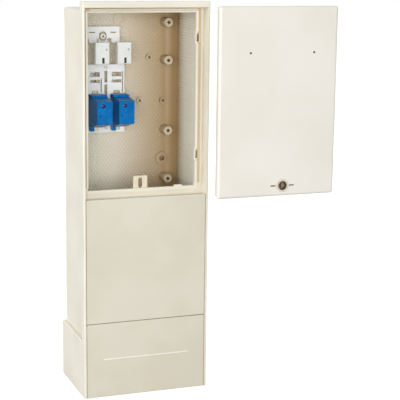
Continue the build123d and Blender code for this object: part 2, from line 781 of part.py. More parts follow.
    # Terminal housing: a front block on a stem, with a cable pocket open at the bottom
    housing_back = housing_front + housing_thickness
    with BuildPart() as housing:
        with BuildSketch(upright(housing_back)):
            with Locations((pole_x, housing_bottom + housing_height / 2)):
                Rectangle(housing_width, housing_height)
        extrude(amount=housing_thickness)
        fillet(housing.faces().sort_by(Axis.Y)[0].edges(), housing_fillet)
        with BuildSketch(upright(plate_front)):
            with Locations((pole_x + stem_x, stem_z)):
                Rectangle(stem_width, stem_height)
        extrude(amount=plate_front - housing_back)
        with BuildSketch(upright(housing_back - pocket_wall)):
            with Locations((pole_x + clamp_x, housing_bottom + (housing_height - pocket_top_wall) / 2)):
                Rectangle(clamp_width + 2 * clamp_clearance, housing_height - pocket_top_wall)
        extrude(amount=housing_thickness - 2 * pocket_wall, mode=Mode.SUBTRACT)
        with BuildSketch(upright(housing_front)):
            with Locations((pole_x + housing_pad_x, housing_pad_z)):
                RectangleRounded(housing_pad_width, housing_pad_height, carrier_lip)
        extrude(amount=housing_pad_thickness)
        with BuildSketch(upright(housing_front)):
            with Locations((pole_x + window_x, window_z)):
                Rectangle(window_width, window_height)
            with Locations((pole_x + driver_hole_x, driver_hole_z)):
                Circle(driver_hole_radius)
        extrude(amount=-housing_thickness / 2, mode=Mode.SUBTRACT)
        with BuildSketch(upright(plate_front)):
            with Locations((pole_x + stem_x, stem_z)):
                Circle(clamp_post_radius + screw_clearance)
        extrude(amount=plate_front - housing_front - housing_thickness / 2, mode=Mode.SUBTRACT)
    save(f"terminal_housing_{side}", housing)

    # Brass clamp inside the housing, its post fixed in the link bar
    clamp_back = housing_back - pocket_wall
    clamp_front = housing_front + pocket_wall + clamp_clearance
    with BuildPart() as clamp:
        with BuildSketch(upright(clamp_back)):
            with Locations((pole_x + clamp_x, clamp_z)):
                Rectangle(clamp_width, clamp_height)
        extrude(amount=clamp_back - clamp_front)
        with BuildSketch(upright(plate_back + link_thickness)):
            with Locations((pole_x + stem_x, stem_z)):
                Circle(clamp_post_radius)
        extrude(amount=plate_back + link_thickness - clamp_back)
        with BuildSketch(upright(clamp_front)):
            with Locations((pole_x + driver_hole_x, driver_hole_z)):
                Circle(clamp_screw_radius + screw_clearance)
        extrude(amount=-clamp_screw_length, mode=Mode.SUBTRACT)
    save(f"terminal_clamp_{side}", clamp)

with BuildPart() as terminal_screws:
    for pole_x in poles.values():
        with BuildSketch(upright(clamp_front + clamp_screw_length)):
            with Locations((pole_x + driver_hole_x, driver_hole_z)):
                Circle(clamp_screw_radius)
        extrude(amount=clamp_screw_length)
        with BuildSketch(upright(clamp_front)):
            with Locations((pole_x + driver_hole_x, driver_hole_z)):
                Rectangle(2 * clamp_screw_radius, screw_slot_width)
        extrude(amount=-screw_slot_depth, mode=Mode.SUBTRACT)
save("terminal_screws", terminal_screws)

# Door: a drafted tray with a rounded front, ribs inside and hooks on its hinge side
door_height = door_high - door_low
with BuildPart() as door_panel:
    with BuildSketch(aside(panel_back)):
        with Locations((0, door_middle)):
            RectangleRounded(2 * door_half, door_height, door_corner_radius)
    extrude(amount=panel_back - face_set_back, taper=-recess_draft)
    fillet(door_panel.faces().sort_by(Axis.Y)[0].edges(), door_edge_radius)
    with BuildSketch(aside(panel_back)):
        with Locations((0, door_middle)):
            RectangleRounded(2 * (door_half - skin), door_height - 2 * skin, door_corner_radius - skin)
    extrude(amount=panel_back - face_back, taper=-recess_draft, mode=Mode.SUBTRACT)
    fillet(door_panel.faces().filter_by(Axis.Y).group_by(Axis.Y)[1].edges(), door_pocket_radius)
    with BuildSketch(aside(face_back)):
        with Locations((0, door_middle)):
            with GridLocations(door_rib_spacing_x, 0, 2, 1):
                Rectangle(door_rib, door_height - skin)
            with GridLocations(0, door_rib_spacing_z, 1, 2):
                Rectangle(2 * door_half - skin, door_rib)
    extrude(amount=-door_rib_height)
    with BuildSketch(aside(face_back)):
        with Locations((lock_x, lock_z)):
            Circle(lock_boss_radius)
    extrude(amount=-lock_boss_height)
    for z in socket_z:
        with BuildSketch(aside(hook_back)):
            with Locations((socket_x, z)):
                Rectangle(door_hook_width, door_hook_height)
        extrude(amount=hook_back - face_back)
        with BuildSketch(aside(hook_back)):
            with Locations((socket_x, z - door_hook_height / 2)):
                Rectangle(door_hook_width, 2 * door_hook_drop)
        extrude(amount=door_hook_thickness)
    # Sunk disc round the lock, marking slits beside it and two dimples higher up
    with BuildSketch(aside(face_set_back)):
        with Locations((lock_x, lock_z)):
            Circle(lock_plate_radius)
    extrude(amount=-lock_plate_sink, mode=Mode.SUBTRACT)
    with BuildSketch(aside(face_set_back)):
        with Locations((lock_x, lock_z)):
            with GridLocations(mark_slit_spacing, 0, 2, 1):
                SlotOverall(mark_slit_length, mark_slit_width)
    extrude(amount=-mark_slit_depth, mode=Mode.SUBTRACT)
    with BuildSketch(aside(face_set_back)):
        with Locations((door_dimple_x, door_dimple_z)):
            with GridLocations(door_dimple_spacing, 0, 2, 1):
                Circle(door_dimple_radius)
    extrude(amount=-door_dimple_depth, mode=Mode.SUBTRACT)
    with BuildSketch(aside(face_set_back)):
        with Locations((lock_x, lock_z)):
            Circle(lock_body_radius + lock_hole_clearance)
    extrude(amount=-boss_back, mode=Mode.SUBTRACT)
save("door_panel", door_panel)

with BuildPart() as lock_sleeve:
    with BuildSketch(aside(lock_seat)):
        with Locations((lock_x, lock_z)):
            Circle(lock_ring_radius)
    extrude(amount=lock_plate_sink + lock_ring_rise)
    with BuildSketch(aside(lock_seat)):
        with Locations((lock_x, lock_z)):
            Circle(lock_body_radius)
    extrude(amount=-lock_length)
    with BuildSketch(aside(face_set_back - lock_ring_rise)):
        with Locations((lock_x, lock_z)):
            Circle(lock_bore_radius)
    extrude(amount=-lock_bore_depth, mode=Mode.SUBTRACT)
    with BuildSketch(aside(lock_back)):
        with Locations((lock_x, lock_z)):
            Circle(spindle_radius + spindle_clearance)
    extrude(amount=lock_length, mode=Mode.SUBTRACT)
save("lock_sleeve", lock_sleeve)

with BuildPart() as lock_nut:
    with BuildSketch(aside(boss_back)):
        with Locations((lock_x, lock_z)):
            RegularPolygon(lock_nut_radius, 6)
            Circle(lock_body_radius + lock_hole_clearance, mode=Mode.SUBTRACT)
    extrude(amount=-lock_nut_thickness)
save("lock_nut", lock_nut)

# Spindle with a three-sided key post, a collar and a square end
collar_back = face_set_back - lock_ring_rise + lock_bore_depth - spindle_clearance
with BuildPart() as lock_spindle:
    with BuildSketch(aside(collar_back)):
        with Locations((lock_x, lock_z)):
            Circle(spindle_collar_radius)
    extrude(amount=spindle_collar_height)
    with BuildSketch(aside(collar_back - spindle_collar_height)):
        with Locations((lock_x, lock_z)):
            RegularPolygon(spindle_key_radius, 3)
    extrude(amount=spindle_key_height)
    with BuildSketch(aside(collar_back)):
        with Locations((lock_x, lock_z)):
            Circle(spindle_radius)
    extrude(amount=collar_back - bar_front)
    with BuildSketch(aside(bar_front)):
        with Locations((lock_x, lock_z)):
            Rectangle(bar_square, bar_square)
    extrude(amount=-bar_thickness)
    with BuildSketch(aside(bar_back)):
        with Locations((lock_x, lock_z)):
            Circle(bar_screw_radius + bar_screw_clearance)
    extrude(amount=bar_screw_length, mode=Mode.SUBTRACT)
save("lock_spindle", lock_spindle)

with BuildPart() as lock_bar:
    with BuildSketch(aside(bar_back)):
        with Locations((lock_x, lock_z + (bar_length - bar_width) / 2)):
            SlotOverall(bar_length, bar_width, rotation=90)
        with Locations((lock_x, lock_z)):
            Rectangle(
                bar_square + 2 * bar_square_clearance,
                bar_square + 2 * bar_square_clearance,
                mode=Mode.SUBTRACT,
            )
    extrude(amount=bar_thickness)
save("lock_bar", lock_bar)

with BuildPart() as bar_screw:
    with BuildSketch(aside(bar_back)):
        with Locations((lock_x, lock_z)):
            Circle(bar_width / 2 - bar_clearance)
    extrude(amount=-screw_head_height)
    with BuildSketch(aside(bar_back)):
        with Locations((lock_x, lock_z)):
            Circle(bar_screw_radius)
    extrude(amount=bar_screw_length - bar_screw_clearance)
    with BuildSketch(aside(bar_back + screw_head_height)):
        with Locations((lock_x, lock_z)):
            Rectangle(bar_width, screw_slot_width)
    extrude(amount=screw_slot_depth, mode=Mode.SUBTRACT)
save("bar_screw", bar_screw)
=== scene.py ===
import json
import math

import bpy
from mathutils import Matrix, Vector


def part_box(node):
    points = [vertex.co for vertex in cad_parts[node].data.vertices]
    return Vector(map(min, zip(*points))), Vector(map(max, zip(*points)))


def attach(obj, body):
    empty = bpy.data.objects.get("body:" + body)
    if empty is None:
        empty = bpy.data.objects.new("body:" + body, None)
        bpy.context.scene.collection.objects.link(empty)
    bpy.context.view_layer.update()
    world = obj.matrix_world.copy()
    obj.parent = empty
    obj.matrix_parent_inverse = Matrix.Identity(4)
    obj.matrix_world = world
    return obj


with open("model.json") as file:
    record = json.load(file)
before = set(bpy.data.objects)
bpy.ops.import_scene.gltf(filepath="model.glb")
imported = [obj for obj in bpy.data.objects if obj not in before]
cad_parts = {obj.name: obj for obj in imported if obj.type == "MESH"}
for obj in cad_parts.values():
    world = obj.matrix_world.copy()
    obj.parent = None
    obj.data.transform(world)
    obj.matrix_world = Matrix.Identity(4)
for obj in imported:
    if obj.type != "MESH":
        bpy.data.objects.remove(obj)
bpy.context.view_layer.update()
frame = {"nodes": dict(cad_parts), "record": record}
nodes = frame["nodes"]
scene = bpy.context.scene
scene.view_settings.view_transform = "Standard"
print("frame loaded:", len(nodes), "nodes")


class Signal:
    # a socket that can stand in a Python expression
    def __init__(self, finish, socket):
        self.finish = finish
        self.socket = socket

    def join(self, operation, first, second):
        return self.finish.add("ShaderNodeMath", {"operation": operation}, {0: first, 1: second})

    def __add__(self, other):
        return self.join("ADD", self, other)

    def __radd__(self, other):
        return self.join("ADD", other, self)

    def __sub__(self, other):
        return self.join("SUBTRACT", self, other)

    def __rsub__(self, other):
        return self.join("SUBTRACT", other, self)

    def __mul__(self, other):
        return self.join("MULTIPLY", self, other)

    def __rmul__(self, other):
        return self.join("MULTIPLY", other, self)

    def __pow__(self, other):
        return self.join("POWER", self, other)

    def __rpow__(self, other):
        return self.join("POWER", other, self)

    def __gt__(self, other):
        return self.join("GREATER_THAN", self, other)

    def __lt__(self, other):
        return self.join("LESS_THAN", self, other)


class Finish:
    # the nodes of one material, or of the world
    def __init__(self, owner):
        self.owner = owner
        owner.use_nodes = True
        self.tree = owner.node_tree
        self.tree.nodes.clear()

    def add(self, kind, settings=None, sockets=None, output=0):
        node = self.tree.nodes.new(kind)
        for key, value in (settings or {}).items():
            setattr(node, key, value)
        for key, value in (sockets or {}).items():
            if isinstance(value, Signal):
                self.tree.links.new(value.socket, node.inputs[key])
            else:
                node.inputs[key].default_value = value
        return Signal(self, node.outputs[output]) if node.outputs else None

    def place(self):
        return self.add("ShaderNodeTexCoord", output="Object")

    def part(self, vector, axis):
        return self.add("ShaderNodeSeparateXYZ", None, {0: vector}, "XYZ"[axis])

    def noise(self, place, scale, detail=2.0, roughness=0.5):
        sockets = {"Vector": place, "Scale": scale, "Detail": detail, "Roughness": roughness}
        return self.add("ShaderNodeTexNoise", None, sockets)

    def mix(self, factor, first, second, blend="MIX"):
        settings = {"data_type": "RGBA", "blend_type": blend, "clamp_factor": True}
        return self.add("ShaderNodeMix", settings, {0: factor, 6: first, 7: second}, 2)

    def spread(self, value, low, high):
        # 0 below low, 1 above high, smooth between
        sockets = {"Value": value, "From Min": low, "From Max": high}
        return self.add("ShaderNodeMapRange", {"interpolation_type": "SMOOTHSTEP"}, sockets)

    def between(self, value, low, high):
        # 1 from low to high, 0 elsewhere
        return (value > low) * (value < high)

    def openness(self, reach):
        # 1 on open faces, towards 0 in creases narrower than the reach
        return self.add("ShaderNodeAmbientOcclusion", {"samples": 6}, {"Distance": reach}, "AO")

    def bump(self, height, strength, distance):
        sockets = {"Height": height, "Strength": strength, "Distance": distance}
        return self.add("ShaderNodeBump", None, sockets)

    def shown(self):
        # 1 where the camera sees this, straight or by way of metal and glass
        rays = ("Is Camera Ray", "Is Glossy Ray", "Is Transmission Ray")
        straight, mirrored, through = [self.add("ShaderNodeLightPath", output=ray) for ray in rays]
        return straight + mirrored + through

    def close(self, **sockets):
        named = {key.replace("_", " "): value for key, value in sockets.items()}
        self.finishWith(self.add("ShaderNodeBsdfPrincipled", None, named))
        return self.owner

    def finishWith(self, shader, end="ShaderNodeOutputMaterial"):
        self.add(end, None, {"Surface": shader})


def rgb(red, green, blue):
    # picture values 0 to 255 to a linear colour
    def linear(value):
        value = value / 255
        return value / 12.92 if value <= 0.04045 else ((value + 0.055) / 1.055) ** 2.4
    return (linear(red), linear(green), linear(blue), 1.0)


black = (0, 0, 0, 1)
white = (1, 1, 1, 1)

# what stands on the back wall: across and up of each, and the radius that the pebbles leave clear round it
backWall = {
    "bosses": {"clear": 0.0125, "spots": [(across, up) for up in (0.3997, 0.4979, 0.6396, 0.7148)
                                          for across in (-0.0899, 0.0899)]},
    "pads": {"clear": 0.0085, "spots": [(0.0568, 0.6444), (0.0369, 0.5577), (0.0860, 0.5567)]},
    "fixings": {"clear": 0.0155, "spots": [(-0.0849, 0.4378), (0.0849, 0.4378)]},
    "ring": {"clear": 0.0140, "spots": [(-0.0053, 0.7208)]},
    "behindPlate": {"clear": 0.0075, "spots": [(-0.046, 0.689), (-0.040, 0.508), (-0.040, 0.628)]},
}

# moulded polyester: faint clouding in the colour, a fine grain from the mould and warm painted shade in the
# creases
casingLook = {
    "pale": rgb(234, 230, 216), "deep": rgb(228, 223, 207), "cloudScale": 9.0, "cloudEdges": (0.35, 0.65),
    "grainScale": 900.0, "grain": 0.10, "grainDepth": 0.0004,
    "speckScale": 405.0, "speckEdges": (0.70, 0.78), "speck": 0.10,
    "roughness": 0.46, "grainRough": 0.12, "cloudRough": 0.03, "ior": 1.5,
    "creaseShade": rgb(208, 180, 134), "creaseShadeReach": 0.03, "creaseShadeEdges": (0.25, 1.0), "creaseShadeAmount": 0.35,
}
# inside the tub, painted light brightens the colour and painted shade darkens it, warmly towards the back and
# the right, in the back corners, along the door's seat and in the fixing webs; pairs are start and end
tubLook = dict(
    casingLook, insideLight=rgb(247, 243, 229), insideLightAmount=0.8,
    insideAcross=0.1145, insideDepth=(-0.06, 0.085), insideUp=0.30,
    innerShade=rgb(188, 164, 130), innerShadeDeep=(0.01, 0.083), innerShadeAcross=(-0.06, 0.11), innerShadeLeast=0.12,
    corner=rgb(238, 230, 216), cornerShadeAcross=(0.076, 0.100), cornerShadeDepth=(0.040, 0.070),
    seat=rgb(232, 219, 192), seatAcross=(0.1061, 0.1135), seatDepth=(-0.0706, -0.0660), seatUp=0.412,
    web=rgb(150, 122, 88), webRadius=0.0053, webDepth=(0.0785, 0.0868),
)
panelLook = dict(
    casingLook, pale=rgb(220, 215, 198), deep=rgb(214, 208, 189), cloudScale=7.0, creaseShadeReach=0.004,
    line=rgb(242, 239, 229), lineUp=0.076, lineHalf=(0.0862, 0.0010),
)
doorLook = dict(
    casingLook, pale=rgb(236, 232, 223), deep=rgb(231, 227, 216), cloudScale=6.0, roughness=0.52,
    creaseShadeReach=0.006,
)
keeperLook = dict(
    casingLook, pale=rgb(228, 219, 195), deep=rgb(220, 210, 182), cloudScale=60.0, creaseShadeReach=0.01,
)
plateLook = dict(
    casingLook, pale=rgb(250, 252, 252), deep=rgb(246, 249, 248), cloudScale=40.0, roughness=0.40,
    creaseShadeReach=0.01, creaseShadeAmount=0.3,
)
terminalLook = dict(
    casingLook, pale=rgb(236, 240, 238), deep=rgb(230, 234, 232), cloudScale=60.0, roughness=0.34,
    creaseShadeReach=0.006, creaseShadeAmount=0.4,
)
# painted highlight: the back wall's pebbles are a paler copy of the tub's plastic, so that they look lit
# against the wall
pebbleHighlightLook = dict(
    tubLook, pale=rgb(255, 253, 245), deep=rgb(252, 249, 240), insideLight=rgb(255, 253, 246), creaseShadeAmount=0.2,
    innerShade=rgb(192, 168, 134),
)


def tubColour(finish, look, place, colour):
    across, depth, up = [finish.part(place, axis) for axis in range(3)]
    inside = finish.between(across, -look["insideAcross"], look["insideAcross"])
    inside = inside * finish.between(depth, *look["insideDepth"]) * (up > look["insideUp"])
    # painted light: the inside of the tub is brightened
    colour = finish.mix(inside * look["insideLightAmount"], colour, look["insideLight"])
    # painted shade: darker in the back corners of the tub
    corner = finish.spread(across, *look["cornerShadeAcross"]) * finish.spread(depth, *look["cornerShadeDepth"])
    colour = finish.mix(corner * inside, colour, look["corner"], "MULTIPLY")
    # painted shade: the strip of the door's seat, alike on both sides, darkened where the lip shades the
    # groove
    near, far = look["seatAcross"]
    seat = finish.between(across * across, near ** 2, far ** 2)
    seat = seat * finish.between(depth, *look["seatDepth"]) * (up > look["seatUp"])
    colour = finish.mix(seat, colour, look["seat"], "MULTIPLY")
    # painted shade: dark on the thin webs that close the wall fixings, at the bottom of their holes
    for webAcross, webUp in backWall["fixings"]["spots"]:
        aside, above = across - webAcross, up - webUp
        web = aside * aside + above * above < look["webRadius"] ** 2
        colour = finish.mix(web * finish.between(depth, *look["webDepth"]), colour, look["web"])
    # painted shade: warm darkening that grows towards the back and the right of the tub
    least = look["innerShadeLeast"]
    right = least + finish.spread(across, *look["innerShadeAcross"]) * (1 - least)
    innerShade = finish.spread(depth, *look["innerShadeDeep"]) * right * inside
    return finish.mix(innerShade, colour, look["innerShade"], "MULTIPLY")


def lineColour(finish, look, place, colour):
    # the raised ground line catches more light than the panel
    halfLength, halfHeight = look["lineHalf"]
    along = finish.between(finish.part(place, 0), -halfLength, halfLength)
    level = finish.between(finish.part(place, 2), look["lineUp"] - halfHeight, look["lineUp"] + halfHeight)
    return finish.mix(along * level, colour, look["line"])


def mouldedPlastic(name, look):
    finish = Finish(bpy.data.materials.new(name))
    place = finish.place()
    cloud = finish.spread(finish.noise(place, look["cloudScale"], 3.0), *look["cloudEdges"])
    grain = finish.noise(place, look["grainScale"])
    speck = finish.spread(finish.noise(place, look["speckScale"], 0.0), *look["speckEdges"])
    colour = finish.mix(cloud, look["pale"], look["deep"])
    colour = finish.mix(speck * look["speck"], colour, look["deep"], "MULTIPLY")
    # painted shade: the colour darkens warmly in the creases that the AO node finds
    creaseShade = finish.spread(1.0 - finish.openness(look["creaseShadeReach"]), *look["creaseShadeEdges"])
    colour = finish.mix(creaseShade * look["creaseShadeAmount"], colour, look["creaseShade"], "MULTIPLY")
    if "innerShade" in look:
        colour = tubColour(finish, look, place, colour)
    if "line" in look:
        colour = lineColour(finish, look, place, colour)
    rough = look["roughness"] + (grain - 0.5) * look["grainRough"] + cloud * look["cloudRough"]
    normal = finish.bump(grain, look["grain"], look["grainDepth"])
    return finish.close(Base_Color=colour, Roughness=rough, Normal=normal, IOR=look["ior"])


carrierLook = {
    "pale": rgb(6, 120, 194), "deep": rgb(0, 104, 176), "cloudScale": 70.0, "cloudEdges": (0.3, 0.7),
    "grainScale": 1400.0, "grain": 0.08, "grainDepth": 0.0003, "roughness": 0.34, "grainRough": 0.16,
    "ior": 1.5, "gloss": 0.12,
}


def bluePlastic(name, look):
    finish = Finish(bpy.data.materials.new(name))
    place = finish.place()
    cloud = finish.spread(finish.noise(place, look["cloudScale"], 3.0), *look["cloudEdges"])
    grain = finish.noise(place, look["grainScale"])
    colour = finish.mix(cloud, look["pale"], look["deep"])
    rough = look["roughness"] + (grain - 0.5) * look["grainRough"]
    normal = finish.bump(grain, look["grain"], look["grainDepth"])
    return finish.close(Base_Color=colour, Roughness=rough, Normal=normal, IOR=look["ior"],
                        Specular_IOR_Level=look["gloss"])


# drawn or plated metal: fine lines along the height and faint stains
metalLook = {
    "lineScale": (2600.0, 2600.0, 160.0), "lines": 0.06, "lineDepth": 0.0002, "lineRough": 0.14,
    "stainScale": 130.0, "stainEdges": (0.42, 0.68), "stainRough": 0.16,
}
steelLook = dict(metalLook, pale=rgb(205, 204, 200), deep=rgb(160, 158, 152), roughness=0.34, tarnish=0.15)
lockLook = dict(metalLook, pale=rgb(150, 138, 120), deep=rgb(104, 90, 74), roughness=0.42, tarnish=0.4)
brassLook = dict(metalLook, pale=rgb(214, 180, 106), deep=rgb(170, 132, 66), roughness=0.32, tarnish=0.35)
copperLook = dict(metalLook, pale=rgb(168, 158, 144), deep=rgb(128, 114, 98), roughness=0.40, tarnish=0.35)
jawLook = dict(metalLook, pale=rgb(210, 196, 160), deep=rgb(160, 140, 104), roughness=0.35, tarnish=0.35)


def workedMetal(name, look):
    finish = Finish(bpy.data.materials.new(name))
    place = finish.place()
    brush = finish.add("ShaderNodeMapping", None, {"Vector": place, "Scale": look["lineScale"]})
    lines = finish.noise(brush, 1.0, 3.0)
    stain = finish.spread(finish.noise(place, look["stainScale"], 4.0, 0.6), *look["stainEdges"])
    colour = finish.mix(lines, look["pale"], look["deep"])
    colour = finish.mix(stain * look["tarnish"], colour, look["deep"], "MULTIPLY")
    rough = look["roughness"] + stain * look["stainRough"] + (lines - 0.5) * look["lineRough"]
    normal = finish.bump(lines, look["lines"], look["lineDepth"])
    return finish.close(Base_Color=colour, Roughness=rough, Metallic=1.0, Normal=normal)


fuseLook = {
    "ceramic": rgb(226, 222, 210), "shade": rgb(206, 200, 186), "cloudScale": 160.0, "cloudRough": 0.1,
    "cap": rgb(198, 196, 190), "capEnds": 0.0101, "capGloss": 0.12, "roughness": 0.42,
}


def fuseFinish(name, look):
    # ceramic tube between two metal caps, told apart by height
    finish = Finish(bpy.data.materials.new(name))
    place = finish.place()
    low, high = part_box("fuse_left")
    height = finish.part(place, 2)
    caps = (height < low.z + look["capEnds"]) + (height > high.z - look["capEnds"])
    cloud = finish.noise(place, look["cloudScale"], 3.0)
    body = finish.mix(cloud, look["ceramic"], look["shade"])
    colour = finish.mix(caps, body, look["cap"])
    rough = look["roughness"] - caps * look["capGloss"] + (cloud - 0.5) * look["cloudRough"]
    return finish.close(Base_Color=colour, Roughness=rough, Metallic=caps)


sleeveLook = {
    "ring": rgb(226, 219, 200), "bore": rgb(122, 104, 82), "boreRadius": 0.0088, "boreEdge": 0.0003,
    "grainScale": 1100.0, "grainStain": 0.25, "grain": 0.08, "grainDepth": 0.0003,
    "roughness": 0.40, "boreRough": 0.2,
}


def sleeveFinish(name, look):
    # pale ring in front, brown inside the key bore
    finish = Finish(bpy.data.materials.new(name))
    place = finish.place()
    low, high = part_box("lock_sleeve")
    middle = (low + high) / 2
    across = finish.part(place, 0) - middle.x
    up = finish.part(place, 2) - middle.z
    reach = (across * across + up * up) ** 0.5
    radius, edge = look["boreRadius"], look["boreEdge"]
    inside = 1.0 - finish.spread(reach, radius - edge, radius + edge)
    grain = finish.noise(place, look["grainScale"])
    colour = finish.mix(inside, look["ring"], look["bore"])
    colour = finish.mix(grain * look["grainStain"], colour, look["bore"], "MULTIPLY")
    rough = look["roughness"] + inside * look["boreRough"]
    normal = finish.bump(grain, look["grain"], look["grainDepth"])
    return finish.close(Base_Color=colour, Roughness=rough, Normal=normal)


# the red lens in each fuse carrier
lensLook = {"pale": rgb(92, 30, 60), "deep": rgb(40, 14, 40), "cloudScale": 500.0, "roughness": 0.12,
            "cloudRough": 0.1, "coat": 0.4}


def lensFinish(name, look):
    finish = Finish(bpy.data.materials.new(name))
    cloud = finish.noise(finish.place(), look["cloudScale"])
    colour = finish.mix(cloud, look["pale"], look["deep"])
    rough = look["roughness"] + cloud * look["cloudRough"]
    return finish.close(Base_Color=colour, Roughness=rough, Coat_Weight=look["coat"])


# shade in holes, slits and windows
shadeLook = {"deep": (0.02, 0.015, 0.01, 1), "cloudScale": 900.0, "cloud": 0.3, "roughness": 0.6,
             "cloudRough": 0.2}


def shadeFinish(name, colour):
    finish = Finish(bpy.data.materials.new(name))
    cloud = finish.noise(finish.place(), shadeLook["cloudScale"])
    colour = finish.mix(cloud * shadeLook["cloud"], colour, shadeLook["deep"])
    rough = shadeLook["roughness"] + cloud * shadeLook["cloudRough"]
    return finish.close(Base_Color=colour, Roughness=rough)


# the record's material slots, then the finishes of added pieces
finishes = {
    "casing": mouldedPlastic("casingPlastic", tubLook),
    "panel": mouldedPlastic("panelPlastic", panelLook),
    "door": mouldedPlastic("doorPlastic", doorLook),
    "keeper": mouldedPlastic("keeperPlastic", keeperLook),
    "plate": mouldedPlastic("platePlastic", plateLook),
    "terminal": mouldedPlastic("terminalPlastic", terminalLook),
    "carrier": bluePlastic("carrierPlastic", carrierLook),
    "screw": workedMetal("screwSteel", steelLook),
    "lock_metal": workedMetal("lockMetal", lockLook),
    "clamp": workedMetal("clampBrass", brassLook),
    "copper": workedMetal("linkCopper", copperLook),
    "jaw": workedMetal("jawAlloy", jawLook),
    "fuse": fuseFinish("fuseCeramic", fuseLook),
    "lock": sleeveFinish("lockSleeve", sleeveLook),
    "pebbleHighlight": mouldedPlastic("pebbleHighlightPlastic", pebbleHighlightLook),
    "lens": lensFinish("lensRed", lensLook),
    "pinHole": shadeFinish("pinHoleDark", rgb(52, 42, 32)),
    "slit": shadeFinish("slitShadeBrown", rgb(128, 106, 80)),
    "window": shadeFinish("windowDark", rgb(62, 46, 42)),
    "mouth": shadeFinish("mouthShade", rgb(104, 80, 56)),
}
for entry in frame["record"]["subparts"]:
    for holder in nodes[entry["node"]].material_slots:
        holder.material = finishes[entry["material_slot"]]


def newPiece(name, points, faces, slot, body, smooth=False, finish=None):
    mesh = bpy.data.meshes.new(name)
    mesh.from_pydata(points, [], faces)
    mesh.update()
    if smooth:
        mesh.polygons.foreach_set("use_smooth", [True] * len(mesh.polygons))
    piece = bpy.data.objects.new(name, mesh)
    scene.collection.objects.link(piece)
    piece.data.materials.append(finishes[finish or slot])
    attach(piece, body)
    return piece


def ringPoints(middle, radius, front, count):
    # an upright circle round a spot given by across and up
    across, up = middle
    turns = [2 * math.pi * k / count for k in range(count)]
    return [(across + radius * math.cos(turn), front, up + radius * math.sin(turn)) for turn in turns]


def ringFaces(first, count):
    # quads between one ring of points and the next
    pairs = [(first + k, first + (k + 1) % count) for k in range(count)]
    return [(a, b, b + count, a + count) for a, b in pairs]


# pebbled inner walls of the meter compartment: staggered rows of low domes
pebbles = {
    "pitch": 0.0076, "rowStep": 0.0052, "start": 0.25, "stagger": 0.5,
    "radius": 0.0018, "rise": 0.0011, "sink": 0.0002, "sides": 8, "rings": 2,
    "walls": {
        "backWall": {"origin": (-0.091, 0.083, 0.355), "across": (1, 0, 0), "out": (0, -1, 0),
                     "size": (0.182, 0.379), "finish": "pebbleHighlight", "clear": backWall},
        "rightWall": {"origin": (0.1125, -0.052, 0.402), "across": (0, 1, 0), "out": (-1, 0, 0),
                      "size": (0.113, 0.332), "finish": "casing", "clear": {}},
        "leftWall": {"origin": (-0.1125, -0.052, 0.402), "across": (0, 1, 0), "out": (1, 0, 0),
                     "size": (0.113, 0.332), "finish": "casing", "clear": {}},
    },
}


def addDome(points, faces, middle, across, up, out):
    count, rings = pebbles["sides"], pebbles["rings"]
    first = len(points)
    for ring in range(rings):
        lean = 0.5 * math.pi * ring / rings
        reach = pebbles["radius"] * math.cos(lean)
        rise = pebbles["rise"] * math.sin(lean) if ring else -pebbles["sink"]
        for k in range(count):
            turn = 2 * math.pi * k / count
            aside = across * reach * math.cos(turn) + up * reach * math.sin(turn)
            points.append(middle + aside + out * rise)
    points.append(middle + out * pebbles["rise"])
    made = []
    for ring in range(rings - 1):
        made += ringFaces(first + ring * count, count)
    last = first + (rings - 1) * count
    made += [(last + k, last + (k + 1) % count, last + count) for k in range(count)]
    # faces look out of the wall
    flip = across.cross(up).dot(out) < 0
    faces += [tuple(reversed(one)) for one in made] if flip else made


def pebbleWall(name, wall):
    origin, across, out = Vector(wall["origin"]), Vector(wall["across"]), Vector(wall["out"])
    up = Vector((0, 0, 1))
    rounds = [(x, z, group["clear"]) for group in wall["clear"].values() for x, z in group["spots"]]
    points, faces = [], []
    for row in range(int(wall["size"][1] / pebbles["rowStep"])):
        for column in range(int(wall["size"][0] / pebbles["pitch"])):
            along = (column + pebbles["stagger"] * (row % 2) + pebbles["start"]) * pebbles["pitch"]
            middle = origin + across * along + up * row * pebbles["rowStep"]
            if not any((middle.x - x) ** 2 + (middle.z - z) ** 2 < r * r for x, z, r in rounds):
                addDome(points, faces, middle, across, up, out)
    newPiece(name, points, faces, "casing", "pillar", True, wall["finish"])


for wallName, wall in pebbles["walls"].items():
    pebbleWall("pebbles_" + wallName, wall)
print("pebbled walls made")


# the two poles of the fuse assembly, across
poles = {"left": -0.062, "right": -0.018}

# ridges on the thumb pad of each fuse carrier, thinning out to their ends
thumbPad = {
    "across": 0.0085, "up": 0.558, "front": -0.0162, "sink": 0.0001, "ridges": 5, "step": 0.0036,
    "length": 0.0108, "radius": 0.0009, "thinnest": 0.15, "bluntness": 6, "sides": 8, "spans": 6,
}


def thumbRidges(side, poleAcross):
    pad = thumbPad
    sides, spans = pad["sides"], pad["spans"]
    points, faces = [], []
    for ridge in range(pad["ridges"]):
        up = pad["up"] + (ridge - (pad["ridges"] - 1) / 2) * pad["step"]
        first = len(points)
        for span in range(spans + 1):
            share = span / spans - 0.5
            across = poleAcross + pad["across"] + share * pad["length"]
            thin = math.sqrt(max(0.0, 1 - (2 * abs(share)) ** pad["bluntness"]))
            radius = pad["radius"] * max(thin, pad["thinnest"])
            for k in range(sides + 1):
                turn = math.pi * k / sides
                depth = pad["front"] - radius * math.sin(turn) + pad["sink"]
                points.append((across, depth, up + radius * math.cos(turn)))
        for span in range(spans):
            for k in range(sides):
                a = first + span * (sides + 1) + k
                faces.append((a, a + 1, a + sides + 2, a + sides + 1))
    newPiece("ridges_" + side, points, faces, "carrier", "carrier_" + side, True)


# a small domed lens in the round recess of each fuse carrier
lens = {"across": -0.003, "up": 0.560, "front": -0.0125, "radius": 0.0037, "lean": 70, "flatness": 0.6,
        "rings": 5, "sides": 24}


